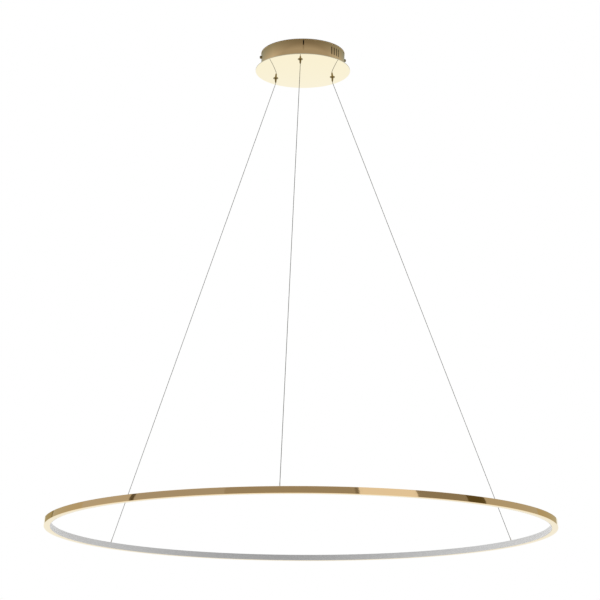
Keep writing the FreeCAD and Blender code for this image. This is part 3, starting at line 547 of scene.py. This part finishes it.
def wire_line(number):
    """The wire's points, read from the spline through its route."""
    curve = bpy.data.curves.new(f"wire_route_{number}", "CURVE")
    curve.dimensions = "3D"
    curve.resolution_u = 48
    spline = curve.splines.new("NURBS")
    route = (WIRE_EXIT, WIRE_CORNER, WIRE_RUN, WIRE_END)
    spline.points.add(len(route) - 1)
    angle = radians(WIRE_ANGLES[number])
    for point, (reach, height) in zip(spline.points, route):
        point.co = (reach * cos(angle), reach * sin(angle), height, 1)
    spline.order_u = 3
    spline.use_endpoint_u = True
    holder = new_object(curve.name, curve)
    line = [tuple(v.co) for v in evaluated(holder).vertices]
    bpy.data.objects.remove(holder)
    return line


def suspension_wire(number):
    """Taut stranded wire from the nipple to its crimped end at the ring."""
    line = wire_line(number)
    wire = piece(
        f"suspension_rope_{number}", rope_along(line), "canopy", WIRE,
        nodes=[f"suspension_wire_{number}"],
    )
    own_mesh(wire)


def wire_tail(number):
    """The wire's straight length inside the gripper and above it."""
    angle = radians(WIRE_ANGLES[number])
    reach = WIRE_EXIT[0]
    x, y = reach * cos(angle), reach * sin(angle)
    rope = rope_along([(x, y, WIRE_EXIT[1]), (x, y, WIRE_TAIL_TOP)])
    piece(f"rope_tail_{number}", rope, "canopy", WIRE, [f"wire_tail_{number}"])


for wire_number in WIRE_ANGLES:
    suspension_wire(wire_number)
    wire_tail(wire_number)


# ---- ring ---------------------------------------------------------------------------

RING_SIDES = 720
RING_MOUTH = 585.5
RING_SHEET = 1.2


def ring_channel():
    """Rolled channel, open towards the axis, its outer corners just rounded."""
    low, high = RING_FLOOR, RING_TOP
    low_inside, high_inside = low + RING_SHEET, high - RING_SHEET
    outline = soften([
        (RING_MOUTH, low, 0.3),
        (600.0, low, 0.55),
        (600.0, high, 0.55),
        (RING_MOUTH, high, 0.3),
        (RING_MOUTH, high_inside, 0.3),
        (598.8, high_inside, 0.4),
        (598.8, low_inside, 0.4),
        (RING_MOUTH, low_inside, 0.3),
    ])
    slots = []
    for number in WIRE_ANGLES:
        # The slot's outline stands in YZ. Laid down, its Z runs outwards.
        slot = prism(slot_outline(586.4, 593.2, 3.0), -high - 1, -high + 2)
        slot.transform(Matrix.Rotation(pi / 2, 4, "Y"))
        slots.append(at_wire(slot, number, 0, 0))
    channel = cut_away(lathe(outline, RING_SIDES), joined(*slots))
    piece("ring_channel", channel, "ring", GOLD, ["ring_frame"])


def silicone_diffuser():
    """Softly crowned face over the channel's mouth, with its two snap legs."""
    low, high = RING_FLOOR + 0.1, RING_TOP - 0.1
    back, front = RING_MOUTH, 584.0
    low_leg, high_leg = RING_FLOOR + RING_SHEET, RING_TOP - RING_SHEET
    outline = soften([
        (front, low + 0.9, 1.4),
        (front + 0.7, low, 0.3),
        (back, low, 0),
        (back, low_leg, 0),
        (back + 2.4, low_leg, 0.3),
        (back + 2.4, low_leg + 1.0, 0.3),
        (back, low_leg + 1.0, 0.3),
        (back, high_leg - 1.0, 0.3),
        (back + 2.4, high_leg - 1.0, 0.3),
        (back + 2.4, high_leg, 0.3),
        (back, high_leg, 0),
        (back, high, 0),
        (front + 0.7, high, 0.3),
        (front, high - 0.9, 1.4),
    ])
    strip = lathe(outline, RING_SIDES)
    piece("silicone_strip", strip, "ring", SILICONE, ["diffuser"])


ring_channel()
silicone_diffuser()


# ---- canopy ---------------------------------------------------------------------------

DRUM_RADIUS = 103.8
PLATE_RADIUS = 117.7
PLATE_THICKNESS = 2.0
KNOB_LEVEL = -13


def row_tree():
    """Repeats a mesh about Z, count times, a pitch apart."""
    tree, given, result = node_tree(
        "row_round_axis", Count="Int", Start="Float", Pitch="Float", Skin="Material"
    )
    given = given.outputs
    spots = add(tree, "GeometryNodePoints", {"Count": given["Count"]}).outputs[0]
    index = add(tree, "GeometryNodeInputIndex").outputs[0]
    angle = {0: index, 1: given["Pitch"], 2: given["Start"]}
    angle = add(tree, "ShaderNodeMath", angle, operation="MULTIPLY_ADD").outputs[0]
    spin = add(tree, "ShaderNodeCombineXYZ", {2: angle}).outputs[0]
    copies = {"Points": spots, "Instance": given["Mesh"], "Rotation": spin}
    copies = add(tree, "GeometryNodeInstanceOnPoints", copies).outputs[0]
    real = add(tree, "GeometryNodeRealizeInstances", {0: copies}).outputs[0]
    coated = {0: real, "Material": given["Skin"]}
    coated = add(tree, "GeometryNodeSetMaterial", coated).outputs[0]
    tree.links.new(coated, result.inputs[0])
    return tree


ROW = row_tree()


def canopy_shell():
    """Drawn cup with a rolled hem, vent slots in two groups, a narrow window
    and the side screws' holes."""
    floor_level = PLATE_LEVEL + PLATE_THICKNESS
    wall = DRUM_RADIUS
    outline = soften([
        (0, floor_level, 0),
        (wall, floor_level, 1.6),
        (wall, -2.2, 0.1),
        (wall + 0.5, -2.0, 0.15),
        (wall + 0.5, 0, 0.7),
        (wall - 1.0, 0, 0.2),
        (wall - 1.0, floor_level + 1.0, 0.8),
        (0, floor_level + 1.0, 0),
    ])
    cup = lathe(outline, 360)
    # The tools for the openings reach through the wall, from inside to outside.
    through = (wall - 4, wall + 4)
    vent = prism(slot_outline(-29.5, -9.5, 3.0), *through)
    pitch = radians(4.7)
    first = radians(-52.5)
    front = grown(vent.copy(), ROW, Count=4, Start=first, Pitch=pitch)
    back = grown(vent, ROW, Count=4, Start=first + pi, Pitch=pitch)
    window = prism([(-1.5, -16), (1.5, -16), (1.5, -2.9), (-1.5, -2.9)], *through)
    window = placed(window, turn=Matrix.Rotation(radians(-95), 4, "Z"))
    bore = lathe([(0, -110), (2.3, -110), (2.3, 110), (0, 110)], 32)
    bore = placed(bore, z=KNOB_LEVEL, turn=Matrix.Rotation(pi / 2, 4, "Y"))
    cup = cut_away(cup, joined(front, back, window, bore))
    piece("canopy_shell", cup, "canopy", GOLD, ["canopy_drum"])


def mirror_disc():
    """Lapped disc, its lower edge broken and its upper edge left crisp."""
    outline = soften([
        (0, PLATE_LEVEL, 0),
        (PLATE_RADIUS, PLATE_LEVEL, 0.4),
        (PLATE_RADIUS, PLATE_LEVEL + PLATE_THICKNESS, 0.15),
        (0, PLATE_LEVEL + PLATE_THICKNESS, 0),
    ])
    piece("mirror_disc", lathe(outline, 360), "canopy", MIRROR, ["canopy_plate"])


def side_knobs():
    """Domed thumb screws with a ribbed grip."""
    ribs = 24
    rib_depth = 0.28

    def grip(turn, radius, height):
        if radius < 3.5 or not 0.4 < height < 3.0:
            return radius
        return radius - rib_depth * abs(2 * (turn * ribs % 1) - 1)

    outline = soften([
        (0, -8, 0),
        (2.0, -8, 0.3),
        (2.0, 0, 0),
        (3.8, 0, 0.35),
        (3.8, 0.8, 0),
        (3.8, 2.6, 0),
        (3.8, 3.0, 0.2),
        (2.7, 4.2, 0.8),
        (0, 4.5, 0),
    ])
    knobs = []
    for side in (-1, 1):
        spin = Matrix.Rotation(side * pi / 2, 4, "Y")
        knob = lathe(outline, ribs * 6, grip)
        knobs.append(placed(knob, x=side * DRUM_RADIUS, z=KNOB_LEVEL, turn=spin))
    piece("side_knobs", joined(*knobs), "canopy", DARK_GOLD, ["side_screws"])


canopy_shell()
mirror_disc()
side_knobs()


# ---- wire grippers ----------------------------------------------------------------------


def thread(radius, depth, pitch, low, high, core, sides=48, rows=6):
    """A closed sleeve with a screw thread outside."""

    def groove(turn, reach, height):
        if reach < radius:
            return reach
        return radius - depth * abs(2 * ((height / pitch - turn) % 1) - 1)

    count = ceil((high - low) / pitch * rows)
    flank = [(radius, low + (high - low) * row / count) for row in range(count + 1)]
    return lathe([(core, low)] + flank + [(core, high)], sides, groove)


def gripper(number):
    """Flanged barrel under the plate, threaded above it, with its nipple."""
    seat = 3.62
    barrel = soften([
        (2.55, -1.0, 0.12),
        (6.3, -1.0, 0.35),
        (6.3, 0, 0),
        (4.6, 0, 0),
        (4.6, 24, 0.2),
        (4.25, 24, 0),
        (4.25, 14, 0),
        (seat + 0.4, 14, 0),
        (seat - 0.5, 7.5, 0),
        (2.55, 7.5, 0),
    ])
    screw = thread(radius=5.0, depth=0.45, pitch=0.75, low=0.02, high=23.9, core=4.5)
    shell = at_wire(joined(lathe(barrel, 64), screw), number, WIRE_EXIT[0], PLATE_LEVEL)
    piece(
        f"gripper_barrel_{number}", shell, "canopy", DARK_GOLD,
        [f"gripper_body_{number}"],
    )
    nipple = soften([
        (0.95, -11.5, 0.1),
        (1.7, -11.5, 0.35),
        (2.25, -7.0, 1.5),
        (2.5, -3.5, 2.0),
        (2.5, 7.5, 0),
        (3.05, 7.5, 0.1),
        (3.05, 14, 0.3),
        (0.95, 14, 0.1),
    ])
    shapes = [lathe(nipple, 64)]
    balls, size = 3, 1.4
    for ball in range(balls):
        arc = [(size * sin(pi * step / 10), -size * cos(pi * step / 10)) for step in range(11)]
        bearing = lathe(arc, 20)
        turn = Matrix.Rotation(2 * pi * ball / balls, 4, "Z")
        bearing.transform(turn @ Matrix.Translation((2.18, 0, 11)))
        shapes.append(bearing)
    nipple = at_wire(joined(*shapes), number, WIRE_EXIT[0], PLATE_LEVEL)
    piece(
        f"release_nipple_{number}", nipple, f"release_{number}", DARK_GOLD,
        [f"gripper_plunger_{number}"],
    )


for wire_number in WIRE_ANGLES:
    gripper(wire_number)


# ---- small parts --------------------------------------------------------------------------


def refined(node, name, material, edge=0.0):
    """A CAD node's shape, smooth on its rounds, with its sharp edges broken."""
    body = frame["nodes"][node]["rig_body"]
    mesh = frame["nodes"][node].data.copy()
    mesh.transform(Matrix.Scale(1 / MM, 4))
    shape = bmesh.new()
    shape.from_mesh(mesh)
    bmesh.ops.remove_doubles(shape, verts=shape.verts, dist=0.001)
    bmesh.ops.dissolve_limit(shape, angle_limit=radians(0.5), verts=shape.verts, edges=shape.edges)
    shape.to_mesh(mesh)
    shape.free()
    if edge:
        holder = new_object("edging", mesh)
        bevel = holder.modifiers.new("edge", "BEVEL")
        bevel.width = edge
        bevel.segments = 2
        bevel.limit_method = "ANGLE"
        bevel.angle_limit = radians(40)
        mesh = evaluated(holder)
        bpy.data.objects.remove(holder)
    return piece(name, mesh, body, material, [node])


refined("mounting_bracket", "ceiling_plate", ZINC, 0.25)
refined("terminal_block", "screw_terminals", NYLON, 0.2)
refined("led_driver", "driver_case", CASE, 0.3)
refined("gripper_nuts", "barrel_nuts", ZINC, 0.25)
refined("anchor_nuts", "pin_nuts", ZINC, 0.08)
refined("earth_screw", "earth_terminal", ZINC)
refined("anchor_pins", "fork_pins", STAINLESS)
for wire_number in WIRE_ANGLES:
    refined(f"gripper_plug_{wire_number}", f"barrel_plug_{wire_number}", BRASS)
    refined(f"wire_anchor_{wire_number}", f"forked_post_{wire_number}", GOLD, 0.15)
    refined(f"wire_ferrule_{wire_number}", f"crimped_end_{wire_number}", STAINLESS)


def return_spring(number):
    """The nipple's spring, with its own mesh. The real one shortens as the nipple rises."""
    spring = refined(f"gripper_spring_{number}", f"return_spring_{number}", STAINLESS)
    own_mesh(spring)


for wire_number in WIRE_ANGLES:
    return_spring(wire_number)

# CAD nodes whose shapes stay as they are.
CARRIED = {"driver_pad": FOAM, "led_strip": CIRCUIT}
for carried, finish in CARRIED.items():
    for place in frame["nodes"][carried].material_slots:
        place.material = finish


# ---- studio -------------------------------------------------------------------------------


def seen_directly(tree):
    """1 for rays that show a background: camera, mirror and glass."""
    path = add(tree, "ShaderNodeLightPath").outputs
    both = {0: path["Is Camera Ray"], 1: path["Is Glossy Ray"]}
    some = add(tree, "ShaderNodeMath", both, operation="MAXIMUM").outputs[0]
    all_three = {0: some, 1: path["Is Transmission Ray"]}
    return add(tree, "ShaderNodeMath", all_three, operation="MAXIMUM").outputs[0]


def world():
    """White where it is seen, and a soft even fill for everything else."""
    made = bpy.data.worlds.new("studio")
    bpy.context.scene.world = made
    made.use_nodes = True
    tree = made.node_tree
    fill = tree.nodes["Background"]
    fill.inputs["Color"].default_value = linear("#FFFFFF")
    fill.inputs["Strength"].default_value = 0.42
    white = add(tree, "ShaderNodeBackground", {"Color": linear("#FFFFFF"), "Strength": 1.0})
    blend = {0: seen_directly(tree), 1: fill.outputs[0], 2: white.outputs[0]}
    mixed = add(tree, "ShaderNodeMixShader", blend).outputs[0]
    tree.links.new(mixed, tree.nodes["World Output"].inputs["Surface"])


def studio_floor():
    """Pale painted floor, far below the ring."""
    reach, level = 60.0, -2.4
    corners = [(-reach, -reach), (reach, -reach), (reach, reach), (-reach, reach)]
    made = new_object("floor", mesh_of([(x, y, level) for x, y in corners], [[0, 1, 2, 3]]))
    material, tree, shader = shader_of("pale_floor", "#F4F4F4", 0.0, 0.8)
    white = add(tree, "ShaderNodeEmission", {"Color": linear("#FFFFFF"), "Strength": 1.0})
    # The paint that still shows through the white keeps the object's shadow.
    white_share = 0.95
    share = {0: seen_directly(tree), 1: white_share}
    share = add(tree, "ShaderNodeMath", share, operation="MULTIPLY").outputs[0]
    mixed = {0: share, 1: shader.outputs[0], 2: white.outputs[0]}
    mixed = add(tree, "ShaderNodeMixShader", mixed).outputs[0]
    tree.links.new(mixed, tree.nodes["Material Output"].inputs["Surface"])
    material.cycles.emission_sampling = "NONE"
    made.data.materials.append(material)


CARD_RADIUS = 6.0
CARD_FOOT = -1.35
CARD_TOP = 4.5
CAMERA_BEARING = -95.72
# Cards round the object that only polished metal sees, from one bearing to the
# next, in degrees anticlockwise from the camera's, and how light they are. Their
# glow is a painted reflection: the white card a painted highlight, the narrow
# dark cards painted dark lines.
CARDS = (
    ("left_end", -156, -138.8, "#ADA07F"),
    ("left_olive_line", -138.8, -137.2, "#7A7154"),
    ("left_far", -137.2, -106, "#BDB8AA"),
    ("left_wall", -106, -75.4, "#BFBFC0"),
    ("left_dark_line", -75.4, -72.9, "#5A5444"),
    ("left_near", -72.9, -31, "#B0B0B2"),
    ("front_wall", -31, 21.8, "#A29F9A"),
    ("front_dark_line", 21.8, 23.4, "#7C7870"),
    ("softbox_highlight", 23.4, 48.4, "#F0F3FC"),
    ("right_flag", 48.4, 72.8, "#928F88"),
    ("black_flag", 72.8, 82.8, "#5E5538"),
    ("right_wall", 82.8, 122, "#BAB9B4"),
    ("right_end", 122, 154, "#B9AF96"),
)


def hidden_card(name, mesh):
    """A card that shows in reflections alone. Its material's tree is still empty."""
    made = new_object("card_" + name, mesh)
    material = bpy.data.materials.new("card_" + name)
    material.use_nodes = True
    tree = material.node_tree
    tree.nodes.clear()
    made.data.materials.append(material)
    # It lights nothing, so it isn't sampled as a lamp.
    material.cycles.emission_sampling = "NONE"
    made.visible_camera = False
    made.visible_diffuse = False
    made.visible_shadow = False
    return tree


def hidden_glow(tree, colour):
    """Ends a card's material in a plain glow of a colour or a colour's output."""
    glow = add(tree, "ShaderNodeEmission", {"Color": colour, "Strength": 1.0}).outputs[0]
    add(tree, "ShaderNodeOutputMaterial", {"Surface": glow})


def studio_card(name, first, last, shade):
    """An upright card, curved about the object's axis."""
    steps = max(2, round((last - first) / 4))
    points = []
    for height in (CARD_FOOT, CARD_TOP):
        for step in range(steps + 1):
            angle = radians(CAMERA_BEARING + first + (last - first) * step / steps)
            points.append((CARD_RADIUS * cos(angle), CARD_RADIUS * sin(angle), height))
    row = steps + 1
    faces = [[i, i + 1, row + i + 1, row + i] for i in range(steps)]
    hidden_glow(hidden_card(name, mesh_of(points, faces)), linear(shade))


# How light the ceiling is, close to the canopy and far from it, on the camera's
# side and on the others, and the dark line that the canopy's shadow makes.
CEILING_FRONT = ("#696357", "#AEAEAE")
CEILING_SIDES = ("#969C9A", "#C9CBCE")
SHADOW_LINE = "#322C20"
# Where each changes to the next, in metres out from the axis or back along Y.
LINE_END = (0.107, 0.111)
NEAR_TO_FAR = (0.115, 0.215)
FRONT_TO_SIDES = (-0.15, -0.06)


def ceiling_card():
    """The ceiling as the canopy's wall reflects it: in the canopy's shadow close
    to the wall and lighter further out, and darkest towards the camera."""
    inner, outer, level, sides = 0.0985, 0.5, 0.0015, 96
    points = []
    for radius in (inner, outer):
        for side in range(sides):
            angle = 2 * pi * side / sides
            points.append((radius * cos(angle), radius * sin(angle), level))
    faces = [[i, (i + 1) % sides, sides + (i + 1) % sides, sides + i] for i in range(sides)]
    tree = hidden_card("ceiling", mesh_of(points, faces))
    place = add(tree, "ShaderNodeTexCoord").outputs["Object"]
    away = add(tree, "ShaderNodeVectorMath", {0: place}, operation="LENGTH").outputs["Value"]
    back = add(tree, "ShaderNodeSeparateXYZ", {0: place}).outputs[1]
    shares = []
    for value, (low, high) in ((away, NEAR_TO_FAR), (back, FRONT_TO_SIDES), (away, LINE_END)):
        reach = {"Value": value, "From Min": low, "From Max": high}
        shares.append(add(tree, "ShaderNodeMapRange", reach).outputs[0])
    far, aside, clear = shares
    shades = []
    for near_shade, far_shade in (CEILING_FRONT, CEILING_SIDES):
        tint = {0: far, 6: linear(near_shade), 7: linear(far_shade)}
        shades.append(add(tree, "ShaderNodeMix", tint, data_type="RGBA").outputs[2])
    tint = {0: aside, 6: shades[0], 7: shades[1]}
    shaded = add(tree, "ShaderNodeMix", tint, data_type="RGBA").outputs[2]
    tint = {0: clear, 6: linear(SHADOW_LINE), 7: shaded}
    hidden_glow(tree, add(tree, "ShaderNodeMix", tint, data_type="RGBA").outputs[2])


def side_lamp(side, power):
    """A large soft lamp to the left, -1, or right, 1, of the ring, which lights
    the insides of its ends."""
    light = bpy.data.lights.new("side_lamp", "AREA")
    light.shape = "SQUARE"
    light.size = 2.4
    light.energy = power
    made = new_object("side_lamp", light)
    made.location = (side * 3.6, 1.2, -0.9)
    made.rotation_euler = (0, side * pi / 2, 0)
    made.visible_glossy = False


world()
studio_floor()
for card in CARDS:
    studio_card(*card)
ceiling_card()
side_lamp(-1, 88.0)
side_lamp(1, 68.0)

bpy.context.scene.view_settings.view_transform = "Standard"
